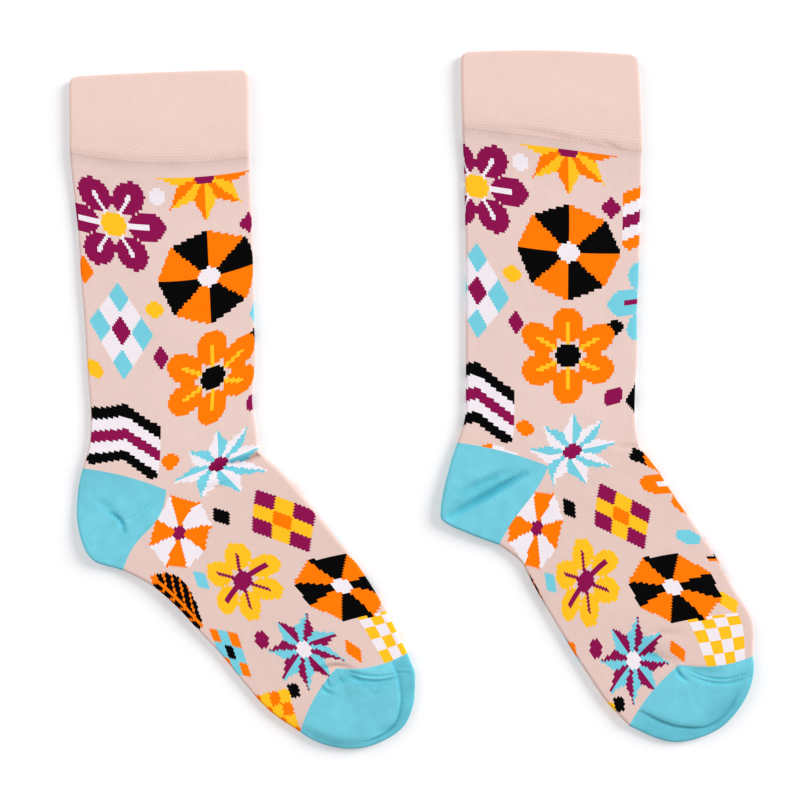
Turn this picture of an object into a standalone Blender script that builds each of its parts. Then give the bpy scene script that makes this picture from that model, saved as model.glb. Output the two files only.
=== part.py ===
"""Pair of knitted crew socks, laid flat on their sides, both feet pointing the same way.

Frame: metres, +Z up.  The socks lie on z = 0 with their cuffs toward +Y and their toes toward
-Y and +X; the origin is under the middle of the pair's box.  The tables are in millimetres.

Each sock is one flattened tube of cloth.  A course of stitches runs from the back of the sock
over the middle of its upper face to the front, and returns underneath, so a section needs only
the three points back, mid and front and the height of the cloth.  The heel and the toe are
pockets whose courses fan out from a gore corner, which lies on the middle of the face.
"""

from collections import namedtuple
from math import cos, exp, hypot, pi, radians, sin

import bmesh
import bpy
from mathutils import Vector

MM = 0.001

# Cloth, in millimetres
BODY_WALL = 1.2        # one layer of patterned or plain knit
CUFF_WALL = 1.8        # the cuff is turned, so its wall is two layers
POCKET_WALL = 1.3      # reinforced heel and toe
SEAM_GAP = 0.3         # between neighbouring pieces
BODY_TURN = 2.4        # how far in from its side edge a flattened tube reaches its full height
CUFF_TURN = 3.0
HOLLOW_LEAST = 0.3     # the upper layer stays this far above the lower one

# Sections built for each row of a table
BODY_STEPS = 3
CUFF_STEPS = 2
POCKET_STEPS = 2

# Points of half a section: shares of the way from the turned edge to mid, and angles at the edge
UPPER_SHARES = (1.0, 0.88, 0.76, 0.64, 0.52, 0.4, 0.27, 0.12, 0.0)
HEEL_SHARES = (1.0, 0.88, 0.82, 0.76, 0.7, 0.64, 0.58, 0.52, 0.46, 0.4, 0.335, 0.27, 0.12, 0.0)
EDGE_ANGLES = (45, 0, -45)
LOWER_SHARES = (0.0, 0.25, 0.6, 1.0)

# The step where the toe's upper layer ends over its lower one
STEPPED_SHARES = (1.0, 0.78, 0.56, 0.34)
STEP_HALF_WIDTH = 0.9
STEP_LEAST = 0.02

# A trough's profile
TROUGH_STEPS = 16
END_DEPTH = 0.35       # depth left at its ends
LIP_SHARE = 0.6        # how strongly its lips rise

BOW_ALLOWANCE = radians(10)   # how far a bowed seam turns at the gore from its straight line
SHARP_ANGLE = radians(40)
WELD = 0.00001                # metres

# A course of the cuff, leg or foot.  edge, crown: height of the cloth beside the turned edges and
# at mid.  corner: 0 where it crosses the face as one smooth curve, 1 where it has a corner at mid;
# the bows and the sway count only there.  bow_back, bow_front: how far each half bows, to the left
# seen from mid.  sway: how far the back half sways in an S.
Course = namedtuple(
    "Course",
    "back_x back_y mid_x mid_y front_x front_y edge crown corner bow_back sway bow_front",
    defaults=(0.0, 0.0, 0.0, 0.0),
)

# A ray of the heel or toe pocket, from the gore corner to the outline.  edge: height of the cloth
# beside the outline.  step_in, step_drop: how far inside the outline the upper layer ends, and
# how far it drops there.
Ray = namedtuple(
    "Ray", "azimuth reach edge bow sway step_in step_drop", defaults=(0.0, 0.0, 6.0, 0.0)
)

# A soft trough pressed into the upper layer, from start through bend to end
Trough = namedtuple("Trough", "start_x start_y bend_x bend_y end_x end_y depth width")

Sock = namedtuple("Sock", "side cuff leg foot heel toe troughs")


LEFT_CUFF = (
    Course(-178.3, 170.7, -133.5, 173.0, -88.9, 174.2, 4.7, 4.9),
    Course(-180.0, 169.6, -133.5, 172.2, -87.4, 173.2, 4.7, 4.9),
    Course(-181.0, 167.0, -133.5, 170.4, -86.5, 171.0, 4.7, 4.9),
    Course(-181.0, 150.0, -133.5, 149.5, -86.0, 151.5, 4.7, 4.9),
    Course(-181.0, 131.0, -133.5, 125.5, -86.0, 129.0, 4.5, 4.9),
)
LEFT_LEG = (
    Course(-181.0, 131.0, -133.5, 125.5, -86.0, 129.0, 3.8, 4.4),
    Course(-179.0, 111.0, -132.5, 105.0, -85.5, 110.0, 3.5, 4.0),
    Course(-176.5, 89.0, -131.0, 82.5, -84.5, 89.5, 3.5, 4.2),
    Course(-175.0, 64.0, -129.5, 56.5, -84.0, 66.5, 3.5, 4.4),
    Course(-173.0, 39.5, -128.0, 30.5, -83.5, 43.0, 3.5, 4.2),
    Course(-171.5, 14.0, -127.0, 4.5, -83.0, 19.5, 3.5, 4.2),
    Course(-170.0, -6.0, -127.0, -16.5, -84.5, 0.5, 3.7, 4.5, 0.1),
    Course(-170.5, -22.5, -127.5, -33.5, -82.5, -15.0, 4.2, 4.8, 0.5, -0.8),
    Course(-174.0, -36.0, -129.5, -47.5, -81.0, -27.5, 4.6, 5.0, 1.0, -1.6),
)
LEFT_FOOT = (
    Course(-152.5, -90.0, -129.5, -47.5, -81.0, -27.5, 4.6, 5.0, 1.0, 1.3, 2.2),
    Course(-139.0, -97.0, -119.0, -58.5, -69.0, -38.0, 5.1, 5.1, 0.6, 0.9, 1.0),
    Course(-126.0, -107.5, -107.0, -71.0, -57.5, -51.0, 5.2, 5.1, 0.3),
    Course(-113.0, -121.5, -94.0, -85.0, -45.0, -66.5, 4.7, 4.8, 0.2),
    Course(-100.0, -135.5, -80.5, -99.5, -32.5, -82.0, 4.1, 4.6, 0.2),
    Course(-88.0, -150.5, -67.0, -113.5, -21.5, -98.0, 3.9, 4.5, 0.3),
    Course(-75.0, -164.5, -53.5, -127.5, -11.5, -115.5, 4.2, 4.7, 0.6, -1.1, 0.0, -1.6),
    Course(-59.0, -175.5, -40.0, -141.5, -2.5, -133.5, 4.4, 5.0, 1.0, -2.3, 0.0, -3.2),
)
LEFT_HEEL = (
    Ray(165.5, 45.8, 4.6, -1.6),
    Ray(171.5, 46.2, 4.1, -1.2),
    Ray(178.0, 46.8, 3.7, -0.8),
    Ray(185.0, 47.6, 3.6, -0.4),
    Ray(192.0, 48.8, 3.8, -0.2),
    Ray(199.0, 50.2, 4.3),
    Ray(206.0, 51.5, 5.0, 0.2),
    Ray(213.0, 52.9, 5.4, 0.4, 0.1),
    Ray(219.0, 53.8, 5.8, 0.6, 0.4),
    Ray(225.0, 53.6, 5.6, 0.8, 0.8),
    Ray(230.5, 51.6, 5.3, 1.0, 1.3),
    Ray(236.0, 49.6, 5.0, 1.2, 1.8),
    Ray(241.5, 48.4, 4.6, 1.3, 2.2),
)
LEFT_TOE = (
    Ray(241.0, 38.9, 4.4, -2.3),
    Ray(250.5, 39.9, 4.6, -1.6),
    Ray(261.0, 41.0, 4.8, -1.0),
    Ray(272.0, 42.3, 5.0, -0.6),
    Ray(283.0, 43.8, 5.0, -0.3),
    Ray(292.0, 44.9, 4.8, 0.0, 0.0, 4.0, 0.2),
    Ray(302.5, 46.0, 3.8, 0.0, 0.0, 4.0, 1.2),
    Ray(311.5, 47.0, 3.4, 0.0, 0.0, 4.8, 1.8),
    Ray(320.0, 47.3, 3.2, -0.2, 0.0, 6.2, 2.2),
    Ray(328.0, 46.3, 3.2, -0.4, 0.0, 7.4, 2.4),
    Ray(336.0, 44.9, 3.2, -0.7, 0.0, 8.2, 2.4),
    Ray(343.0, 43.4, 3.2, -1.1, 0.0, 8.8, 2.2),
    Ray(350.0, 42.3, 3.3, -1.6, 0.0, 9.3, 2.0),
    Ray(357.0, 41.4, 3.5, -2.2, 0.0, 9.8, 1.7),
    Ray(364.5, 39.5, 3.8, -2.7, 0.0, 9.8, 1.3),
    Ray(372.0, 38.3, 4.3, -3.2, 0.0, 9.6, 0.3),
)
LEFT_TROUGHS = (
    Trough(-79.0, -28.0, -92.0, -33.5, -110.0, -40.5, 1.3, 2.6),
    Trough(-97.0, -44.0, -103.0, -46.0, -110.0, -48.5, 0.5, 2.2),
    Trough(-160.0, -60.0, -152.5, -61.5, -151.8, -71.5, 1.5, 2.6),
    Trough(-151.5, -71.5, -142.0, -60.0, -131.5, -50.0, 0.5, 2.4),
    Trough(-51.5, -143.5, -42.0, -139.0, -31.0, -140.5, 0.8, 2.4),
    Trough(-180.0, 128.0, -133.5, 121.0, -87.0, 126.0, 0.7, 3.0),
)

RIGHT_CUFF = (
    Course(28.4, 183.7, 72.5, 184.5, 117.1, 182.2, 4.7, 4.9),
    Course(26.9, 182.7, 72.5, 183.7, 118.6, 181.2, 4.7, 4.9),
    Course(26.0, 180.5, 72.5, 181.9, 119.6, 179.0, 4.7, 4.9),
    Course(26.0, 163.0, 73.0, 161.0, 121.0, 156.0, 4.7, 4.9),
    Course(26.5, 144.0, 73.0, 138.5, 121.8, 131.5, 4.5, 4.9),
)
RIGHT_LEG = (
    Course(26.5, 144.0, 73.0, 138.5, 121.5, 131.5, 3.8, 4.4),
    Course(27.5, 124.0, 73.5, 117.5, 121.0, 113.0, 3.5, 4.0),
    Course(28.0, 102.5, 74.0, 95.0, 120.5, 92.5, 3.5, 4.2),
    Course(28.5, 77.5, 73.5, 69.0, 120.0, 69.0, 3.5, 4.4),
    Course(28.5, 52.5, 73.5, 43.0, 119.0, 45.5, 3.5, 4.2),
    Course(28.5, 27.5, 73.5, 17.0, 119.0, 22.5, 3.5, 4.2),
    Course(28.5, 7.5, 73.5, -3.5, 118.0, 4.0, 3.7, 4.5, 0.1),
    Course(28.0, -9.5, 73.0, -21.0, 118.0, -12.0, 4.2, 4.8, 0.5, -0.8),
    Course(24.0, -22.5, 72.0, -35.0, 120.0, -24.5, 4.6, 5.0, 1.0, -1.6),
)
RIGHT_FOOT = (
    Course(46.0, -76.5, 72.0, -35.0, 120.0, -24.5, 4.6, 5.0, 1.0, 0.2, 0.9),
    Course(57.5, -85.5, 80.0, -47.5, 129.5, -36.5, 4.2, 4.8, 0.6, 0.2, 0.5),
    Course(65.0, -99.0, 89.0, -61.5, 138.5, -50.5, 3.9, 4.6, 0.3),
    Course(74.0, -114.5, 99.5, -77.0, 149.5, -66.5, 3.8, 4.5, 0.2),
    Course(83.0, -129.5, 110.0, -92.5, 160.5, -82.5, 3.8, 4.5, 0.2),
    Course(92.5, -144.5, 120.0, -108.5, 169.5, -99.0, 3.9, 4.5, 0.3),
    Course(102.5, -159.0, 130.5, -124.0, 179.5, -116.0, 4.2, 4.7, 0.6, -1.0, 0.0, -1.4),
    Course(114.5, -172.0, 141.0, -139.5, 180.3, -135.0, 4.4, 5.0, 1.0, -2.1, 0.0, -3.0),
)
RIGHT_HEEL = (
    Ray(165.4, 49.6, 4.6, -1.6),
    Ray(171.0, 50.2, 4.8, -1.2),
    Ray(177.0, 51.4, 5.0, -0.8),
    Ray(183.0, 52.8, 5.3, -0.4),
    Ray(189.0, 55.0, 5.6, -0.2),
    Ray(195.0, 57.7, 5.8),
    Ray(201.0, 60.7, 5.8),
    Ray(206.0, 63.0, 5.4),
    Ray(210.5, 61.0, 5.4, 0.0, 0.2),
    Ray(217.0, 56.8, 5.4, 0.1, 0.4),
    Ray(224.0, 53.4, 5.2, 0.1, 0.6),
    Ray(231.0, 50.8, 5.0, 0.2, 0.8),
    Ray(238.0, 49.0, 4.6, 0.2, 0.9),
)
RIGHT_TOE = (
    Ray(231.0, 41.9, 4.2, -2.1, 0.0, 10.4, 0.3),
    Ray(239.5, 41.0, 4.0, -1.6, 0.0, 10.5, 0.8),
    Ray(248.5, 40.9, 4.0, -1.0, 0.0, 10.3, 1.1),
    Ray(259.0, 41.2, 4.0, -0.6, 0.0, 10.1, 1.3),
    Ray(268.0, 41.3, 4.0, -0.3, 0.0, 9.3, 1.4),
    Ray(277.0, 41.0, 4.0, 0.0, 0.0, 8.1, 1.4),
    Ray(285.5, 40.6, 4.0, 0.0, 0.0, 6.3, 1.4),
    Ray(294.0, 40.5, 4.0, 0.0, 0.0, 5.1, 1.3),
    Ray(303.0, 40.5, 4.1, -0.2, 0.0, 4.8, 1.2),
    Ray(313.0, 40.1, 4.1, -0.4, 0.0, 4.8, 1.2),
    Ray(324.5, 39.8, 4.1, -0.7, 0.0, 5.3, 1.0),
    Ray(336.0, 39.8, 4.4, -1.1, 0.0, 6.3, 0.5),
    Ray(346.0, 39.9, 4.5, -1.6, 0.0, 7.0, 0.25),
    Ray(354.0, 39.9, 4.6, -2.1, 0.0, 7.0, 0.1),
    Ray(361.5, 39.7, 4.6, -2.6),
    Ray(366.6, 39.3, 4.4, -3.0),
)
RIGHT_TROUGHS = (
    Trough(121.0, -24.0, 114.0, -25.0, 108.0, -24.5, 0.6, 2.2),
    Trough(23.0, -59.0, 40.0, -51.0, 55.0, -41.0, 1.7, 4.2),
    Trough(26.0, -49.0, 33.0, -45.5, 41.0, -41.5, 0.7, 3.0),
    Trough(127.0, -122.0, 134.0, -124.0, 142.0, -123.0, 0.7, 3.0),
    Trough(118.0, -133.0, 127.0, -135.0, 138.0, -137.5, 0.8, 3.0),
    Trough(140.0, -141.0, 144.0, -144.0, 146.0, -150.0, 0.8, 1.8),
    Trough(38.0, 142.5, 62.0, 141.0, 83.0, 136.0, 1.1, 3.2),
    Trough(76.0, 139.0, 92.0, 134.5, 110.0, 131.0, 0.9, 3.0),
)

SOCKS = (
    Sock("left", LEFT_CUFF, LEFT_LEG, LEFT_FOOT, LEFT_HEEL, LEFT_TOE, LEFT_TROUGHS),
    Sock("right", RIGHT_CUFF, RIGHT_LEG, RIGHT_FOOT, RIGHT_HEEL, RIGHT_TOE, RIGHT_TROUGHS),
)

# Yarn colours, linear RGB
PINK_CUFF = (0.88, 0.64, 0.60)
PINK_BODY = (0.80, 0.58, 0.52)
TURQUOISE = (0.13, 0.60, 0.71)
YARN_ROUGHNESS = 0.9


def catmull(before, start, end, after, early, late, share):
    """Value between start and end on a curve that passes through all four.

    early and late are the shares that the span from start to end has of itself and the span
    before or after it.
    """
    pull_start = (end - before) * early
    pull_end = (after - start) * late
    squared = share * share
    cubed = squared * share
    return (
        (2 * cubed - 3 * squared + 1) * start
        + (cubed - 2 * squared + share) * pull_start
        + (3 * squared - 2 * cubed) * end
        + (cubed - squared) * pull_end
    )


def course_spacing(course, following):
    return hypot(following.mid_x - course.mid_x, following.mid_y - course.mid_y)


def ray_spacing(ray, following):
    return ray.reach * radians(following.azimuth - ray.azimuth)


def refined(rows, steps, spacing):
    """The rows with steps - 1 smooth rows put between each two of them."""
    last = len(rows) - 1
    out = []
    for index in range(last):
        around = (rows[max(index - 1, 0)], rows[index], rows[index + 1], rows[min(index + 2, last)])
        previous, span, following = (spacing(*pair) for pair in zip(around, around[1:]))
        early = span / (previous + span)
        late = span / (span + following)
        for step in range(steps):
            values = (catmull(*four, early, late, step / steps) for four in zip(*around))
            out.append(type(rows[0])(*values))
    out.append(rows[last])
    return out


def bent_point(end, control, mid, share):
    """Point on the curve from end to mid, share of the way from end."""
    left = (1 - share) ** 2
    middle = 2 * share * (1 - share)
    return end * left + control * middle + mid * share ** 2


def bowed_point(end, mid, bow, sway, share):
    """Point on the line from end to mid, bowed to the left seen from mid and swayed in an S."""
    along = (end - mid).normalized()
    left = Vector((-along.y, along.x))
    return end.lerp(mid, share) + left * (4 * bow * share * (1 - share) - sway * sin(2 * pi * share))


def trough_depth(troughs, place):
    """How far the upper layer is pressed down at a place, negative on a trough's raised lips."""
    total = 0.0
    for trough in troughs:
        start = Vector((trough.start_x, trough.start_y))
        bend = Vector((trough.bend_x, trough.bend_y))
        end = Vector((trough.end_x, trough.end_y))
        shares = [step / TROUGH_STEPS for step in range(TROUGH_STEPS + 1)]
        distances = [(bent_point(start, bend, end, share) - place).length for share in shares]
        nearest = min(distances)
        fade = END_DEPTH + (1 - END_DEPTH) * sin(pi * shares[distances.index(nearest)])
        squared = (nearest / trough.width) ** 2
        total += trough.depth * fade * (1 - LIP_SHARE * squared) * exp(-squared)
    return total


def half_section(place, length, edge, crown, turn, wall, troughs, upper_shares, lift):
    """Outer and inner points of half a flattened tube: from mid, over its end, back under mid.

    place gives the point at a share of the way from the end to mid, and lift how much higher
    than its edge the upper layer is at a distance from the end.
    """
    points = []
    for share in upper_shares:
        distance = turn + share * (length - turn)
        spot = place(distance / length)
        height = edge + (crown - edge) * sin(share * pi / 2) + lift(distance)
        height = max(height - trough_depth(troughs, spot), 2 * wall + HOLLOW_LEAST)
        points.append(((spot.x, spot.y, height), (spot.x, spot.y, height - wall)))
    middle = edge / 2
    for angle in EDGE_ANGLES:
        inward = 1 - cos(radians(angle))
        upward = sin(radians(angle))
        outer = place(turn * inward / length)
        inner = place((wall + (turn - wall) * inward) / length)
        outer_height = middle + middle * upward
        inner_height = middle + (middle - wall) * upward
        points.append(((outer.x, outer.y, outer_height), (inner.x, inner.y, inner_height)))
    for share in LOWER_SHARES:
        spot = place((turn + share * (length - turn)) / length)
        points.append(((spot.x, spot.y, 0.0), (spot.x, spot.y, wall)))
    return points


def course_section(course, turn, wall, troughs):
    """Closed ring of points of a course, from mid over the back, under, and over the front."""
    back = Vector((course.back_x, course.back_y))
    mid = Vector((course.mid_x, course.mid_y))
    front = Vector((course.front_x, course.front_y))
    across = (front - back) / 4

    def half(end, control, bow, sway):
        def place(share):
            smooth = bent_point(end, control, mid, share)
            return smooth.lerp(bowed_point(end, mid, bow, sway, share), course.corner)

        return half_section(place, (end - mid).length, course.edge, course.crown, turn, wall,
                            troughs, UPPER_SHARES, lambda distance: 0.0)

    back_half = half(back, mid - across, course.bow_back, course.sway)
    front_half = half(front, mid + across, course.bow_front, 0.0)
    return back_half + front_half[-2::-1]


def ray_section(ray, mid, apex, inset, crown, troughs, stepped):
    """Half ring of points of a pocket's ray, from the apex over the outline and back.

    The ray's azimuth and reach count from mid, and its end is then moved to the left by inset.
    """
    azimuth = radians(ray.azimuth)
    outward = Vector((cos(azimuth), sin(azimuth)))
    end = mid + outward * ray.reach + Vector((-outward.y, outward.x)) * inset
    length = (end - apex).length
    span = length - BODY_TURN
    shares = HEEL_SHARES
    if stepped:
        inside = (ray.step_in + STEP_HALF_WIDTH - BODY_TURN) / span
        outside = max((ray.step_in - STEP_HALF_WIDTH - BODY_TURN) / span, STEP_LEAST)
        shares = STEPPED_SHARES + (inside, outside, 0.0)

    def place(share):
        return bowed_point(end, apex, ray.bow, ray.sway, share)

    def lift(distance):
        if distance < ray.step_in:
            return 0.0
        return ray.step_drop * (1 - ((distance - ray.step_in) / (length - ray.step_in)) ** 2)

    return half_section(place, length, ray.edge, crown, BODY_TURN, POCKET_WALL, troughs, shares,
                        lift)


def weave(bm, inner_layer, sections):
    """Sheet through the sections, one row of faces between each two of them."""
    rows = len(sections) - 1
    columns = len(sections[0]) - 1
    made = bmesh.ops.create_grid(bm, x_segments=columns, y_segments=rows, size=1.0)
    for vert in made["verts"]:
        column = round((vert.co.x + 1) / 2 * columns)
        row = round((vert.co.y + 1) / 2 * rows)
        outer, inner = sections[row][column]
        vert.co = Vector(outer) * MM
        vert[inner_layer] = Vector(inner) * MM


def cloth_wall(name, sheets, material):
    """Closed wall: the outer skin from the sheets, welded, then carried in to the inner skin."""
    bm = bmesh.new()
    inner_layer = bm.verts.layers.float_vector.new("inner")
    for sections in sheets:
        weave(bm, inner_layer, sections)
    bmesh.ops.remove_doubles(bm, verts=bm.verts, dist=WELD)
    made = bmesh.ops.extrude_face_region(bm, geom=bm.faces[:], use_keep_orig=True)
    for item in made["geom"]:
        if isinstance(item, bmesh.types.BMVert):
            item.co = item[inner_layer]
    bmesh.ops.recalc_face_normals(bm, faces=bm.faces)
    bm.verts.layers.float_vector.remove(inner_layer)
    mesh = bpy.data.meshes.new(name)
    bm.to_mesh(mesh)
    bm.free()
    mesh.materials.append(material)
    mesh.shade_smooth()
    mesh.set_sharp_from_angle(angle=SHARP_ANGLE)
    piece = bpy.data.objects.new(name, mesh)
    bpy.context.scene.collection.objects.link(piece)


def yarn(name, colour):
    material = bpy.data.materials.new(name)
    material.use_nodes = True
    shader = material.node_tree.nodes["Principled BSDF"]
    shader.inputs["Base Color"].default_value = (*colour, 1.0)
    shader.inputs["Roughness"].default_value = YARN_ROUGHNESS
    shader.inputs["Metallic"].default_value = 0.0
    material.diffuse_color = (*colour, 1.0)
    return material


def shifted(course, distance):
    """The course moved toward the toe, square to the line from back to front."""
    across = Vector((course.front_x - course.back_x, course.front_y - course.back_y)).normalized()
    step_x = across.y * distance
    step_y = -across.x * distance
    return course._replace(
        back_x=course.back_x + step_x,
        back_y=course.back_y + step_y,
        mid_x=course.mid_x + step_x,
        mid_y=course.mid_y + step_y,
        front_x=course.front_x + step_x,
        front_y=course.front_y + step_y,
    )


def closed_sheet(rows, steps, turn, wall, troughs):
    """Sections through the rows, each with its first point repeated, so that it closes."""
    courses = refined(rows, steps, course_spacing)
    sections = [course_section(course, turn, wall, troughs) for course in courses]
    return [section + section[:1] for section in sections]


def build_cuff(sock, material):
    rows = sock.cuff[:-1] + (shifted(sock.cuff[-1], -SEAM_GAP / 2),)
    sheet = closed_sheet(rows, CUFF_STEPS, CUFF_TURN, CUFF_WALL, sock.troughs)
    cloth_wall(f"cuff_{sock.side}", [sheet], material)


def build_tube(sock, material):
    """Leg and foot.  The leg's last course and the foot's first share their front half."""
    leg_rows = (shifted(sock.leg[0], SEAM_GAP / 2),) + sock.leg[1:]
    sheets = [closed_sheet(rows, BODY_STEPS, BODY_TURN, BODY_WALL, sock.troughs)
              for rows in (leg_rows, sock.foot)]
    cloth_wall(f"tube_{sock.side}", sheets, material)


def build_pocket(name, sock, rays, corner, stepped, material):
    """Heel or toe, its first and last ray a seam's gap inside the tube's edges."""
    half_spread = radians(rays[-1].azimuth - rays[0].azimuth) / 2
    bisector = radians(rays[-1].azimuth + rays[0].azimuth) / 2
    away = SEAM_GAP / sin(half_spread - BOW_ALLOWANCE)
    mid = Vector((corner.mid_x, corner.mid_y))
    apex = mid + Vector((cos(bisector), sin(bisector))) * away
    fan = refined(rays, POCKET_STEPS, ray_spacing)
    sheet = []
    for index, ray in enumerate(fan):
        inset = SEAM_GAP * (1 - 2 * index / (len(fan) - 1))
        sheet.append(ray_section(ray, mid, apex, inset, corner.crown, sock.troughs, stepped))
    cloth_wall(f"{name}_{sock.side}", [sheet], material)


def main():
    for item in list(bpy.data.objects):
        bpy.data.objects.remove(item)
    cuff_yarn = yarn("pink cuff yarn", PINK_CUFF)
    body_yarn = yarn("patterned body yarn", PINK_BODY)
    pocket_yarn = yarn("turquoise yarn", TURQUOISE)
    for sock in SOCKS:
        build_cuff(sock, cuff_yarn)
        build_tube(sock, body_yarn)
        build_pocket("heel", sock, sock.heel, sock.leg[-1], False, pocket_yarn)
        build_pocket("toe", sock, sock.toe, sock.foot[-1], True, pocket_yarn)


main()
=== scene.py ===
"""Looks of the pair of knitted crew socks, laid flat on their sides.

Each sock is four sheets of knit: the turned cuff, the tube of the leg and foot, and the heel and
toe pockets.  A sheet has one face for each stitch.  It is shaped course by course over the form
of its solid, and the tube's pattern is charted on its stitches.
Lengths in the tables are in millimetres, and turns in degrees.
"""

from collections import namedtuple
from functools import partial
from math import atan2, cos, exp, hypot, pi, radians, sin, sqrt

import bmesh
import bpy
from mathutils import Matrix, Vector, noise


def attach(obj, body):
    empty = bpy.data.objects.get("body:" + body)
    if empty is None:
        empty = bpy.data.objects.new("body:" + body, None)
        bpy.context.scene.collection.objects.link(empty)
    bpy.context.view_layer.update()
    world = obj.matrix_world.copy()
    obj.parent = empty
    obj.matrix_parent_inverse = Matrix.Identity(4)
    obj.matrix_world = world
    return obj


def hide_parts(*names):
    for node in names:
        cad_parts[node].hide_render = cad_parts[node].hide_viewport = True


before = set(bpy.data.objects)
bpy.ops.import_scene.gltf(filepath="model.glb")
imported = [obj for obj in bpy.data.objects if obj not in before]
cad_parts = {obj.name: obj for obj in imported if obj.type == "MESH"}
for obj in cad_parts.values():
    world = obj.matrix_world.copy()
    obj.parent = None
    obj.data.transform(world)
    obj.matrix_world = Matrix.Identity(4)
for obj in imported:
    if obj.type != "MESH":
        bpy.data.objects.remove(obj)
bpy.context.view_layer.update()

MM = 0.001
WELD = 0.00001         # metres

# Knit
STITCH_WIDTH = 0.94
STITCH_HEIGHT = 0.75
HALF_UPPER = 45        # stitches from the turned edge to the middle of a face
ROUND_EDGE = 8         # stitches round a turned edge
HALF_ROUND = 2 * HALF_UPPER + ROUND_EDGE
ROUND = 2 * HALF_ROUND

# Cloth
CUFF_WALL = 1.8        # the cuff is turned, so its wall is two layers
EDGE_TURN = 1.2        # how far in from its side edge a flattened tube reaches its full height
UPPER_LEAST = 2.3      # the upper layer stays at least this high
MID_PULL = 0.25        # how far beside mid a smooth course is bent from, as a share of its width

# Soft unevenness of cloth that lies by its own weight: wavelength and height, and the share of
# the way to mid over which it fades out beside a turned edge
LUMPS = ((26.0, 0.28), (9.0, 0.1))
LUMP_FADE = 0.25

# A crease's profile
CREASE_STEPS = 16
END_DEPTH = 0.35       # share of its depth left at its ends
LIP_SHARE = 0.35       # how strongly its lips rise
RIDGE_LIP_SHARE = 1.5  # and how strongly the cloth dips beside a raised seam
CREASE_REACH = 3.0     # widths from its middle at which it has faded out
UNDER_SHARE = 0.25     # how much of each crease shows in the lower layer

# Painted shade: cloth that lies deep in a fold is lit by the cloth beside it, deepening its colour
DEEPENING = 0.75       # added there to the power that the colour is raised to
DEEP_FOLD = 2.2        # a crease's depth over the root of its width at which it is fully deepened

# The cuff
CUFF_INSIDE = 16.0     # how much of its inner layer shows inside the mouth
RIM_COURSES = 6
RIM_BULGE = 0.7
RIM_ROWS = 1           # courses that the rim's round stands for
RIM_PAINTED_SHADE = 0.7         # painted shade round the rim, where its round turns toward the lamps
SINK_COURSES = 5       # its last courses sink toward the leg
SINK_DEPTH = 0.1
TUCK_COURSES = 2       # and those of its tuck turn down onto the leg
TUCK_DROP = 0.22
ELASTIC_ROWS = 14      # rows of elastic above its end, and how far apart they are
ELASTIC_PITCH = 1.66

# The leg's first courses: some inside the cuff, then some gathered by the elastic
HIDDEN_COURSES = 2
HIDDEN_DROP = 0.3      # for each hidden course
GATHER_COURSES = 9
GROOVE_DEPTH = 0.12    # the elastic draws them in
GROOVE_COURSES = 3.5

# The step where the toe's upper layer ends over its lower one
STEP_FOOT = 0.7        # how far outside the layer's end the step's foot lies
STEP_GROOVE = 0.33     # depth of the groove at its foot
STEP_GROOVE_WIDTH = 0.6
BRIM_SUNK = 0.25       # the brim outside it lies in the shade of the step
BRIM_DIM = 0.09
STEP_STITCHES = 8      # how many stitches the step's face and the brim take
BRIM_STITCHES = 6
BRIM_LEAST = 0.01      # least share of the ray that the brim takes

# The heel's gore, where the short rows turn
GORE_STITCHES = 22     # how far its row of small holes shows

# Shade of the stitches, as shares of the yarn's colour: a tint that differs at random from stitch to
# stitch, and painted shade in the pits of the knit and the holes of the mesh, between the rows of
# elastic and between the gathered ribs
STITCH_TINT = 0.03
PIT_SHADE = 0.06
MESH_SHADE = 0.15
ELASTIC_SHADE = 0.12
RIB_SHADE = 0.16

# The band of painted shade where the elastic ends: its shade, and its reach in courses
CUFF_BAND = (0.04, 4.0)
LEG_BAND = (0.1, 5.0)

# Relief of the stitches: how far a strand rises along the wale, in courses, how much lower it is
# where it enters the next stitch, the height added, and how much both strands stand as one ridge
STITCH_SLANT = 1.2
STRAND_FALL = 0.5
STRAND_BASE = 0.2
WALE_RIDGE = 0.35

# Broad patches in the shade of the knit: the noise's numbers, and how strongly they show
PATCH_SCALE = 0.1
PATCH_DETAIL = 3.0
BODY_UNEVENNESS = 0.06
POCKET_UNEVENNESS = 0.3

# How much the elastic differs along a row, and how the gathers come and go
DASH_CHANGE = 0.4
GATHER_PATCH_SCALE = 0.06
GATHER_CHANGE = 1.6
GATHER_LEAST = 0.1

# Height of each knit's relief
CUFF_RELIEF = 0.06
BODY_RELIEF = 0.045
POCKET_RELIEF = 0.08

YARN_ROUGHNESS = 0.9
YARN_SPECULAR = 0.05

# Studio, in metres
FLOOR_HALF = 3.0
FLOOR_DROP = -0.0002
FLOOR_COLOUR = (0.64, 0.64, 0.64)
FLOOR_ROUGHNESS = 0.9
FLOOR_GLOW = 0.275
AIR_COLOUR = (0.97, 0.94, 1.0)
AIR_STRENGTH = 0.4
CAMERA_LENS = 85.0
SENSOR_WIDTH = 36.0
CAMERA_X = -0.0063
VIEW_WIDTH = 0.424

# A soft light: the direction it comes from, its strength, and how widely it is spread
Lamp = namedtuple("Lamp", "name azimuth elevation strength spread")

LAMPS = (
    Lamp("soft light from the right", 28.0, 31.0, 3.17, 30.0),
    Lamp("soft light from the left", 150.0, 35.0, 1.35, 40.0),
)

# A course of the cuff, leg or foot.  edge, crown: height of the cloth beside the turned edges and
# at mid.  corner: 0 where it crosses the face as one smooth curve, 1 where it has a corner at mid;
# the bows and the sway count only there.  bow_back, bow_front: how far each half bows, to the left
# seen from mid.  sway: how far the back half sways in an S.
Course = namedtuple(
    "Course",
    "back_x back_y mid_x mid_y front_x front_y edge crown corner bow_back sway bow_front",
    defaults=(0.0, 0.0, 0.0, 0.0),
)

# A ray of the heel or toe pocket, from the gore corner to the outline.  edge: height of the cloth
# beside the outline.  step_in, step_drop: how far inside the outline the upper layer ends, and
# how far it drops there.
Ray = namedtuple(
    "Ray", "azimuth reach edge bow sway step_in step_drop", defaults=(0.0, 0.0, 6.0, 0.0)
)
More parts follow.
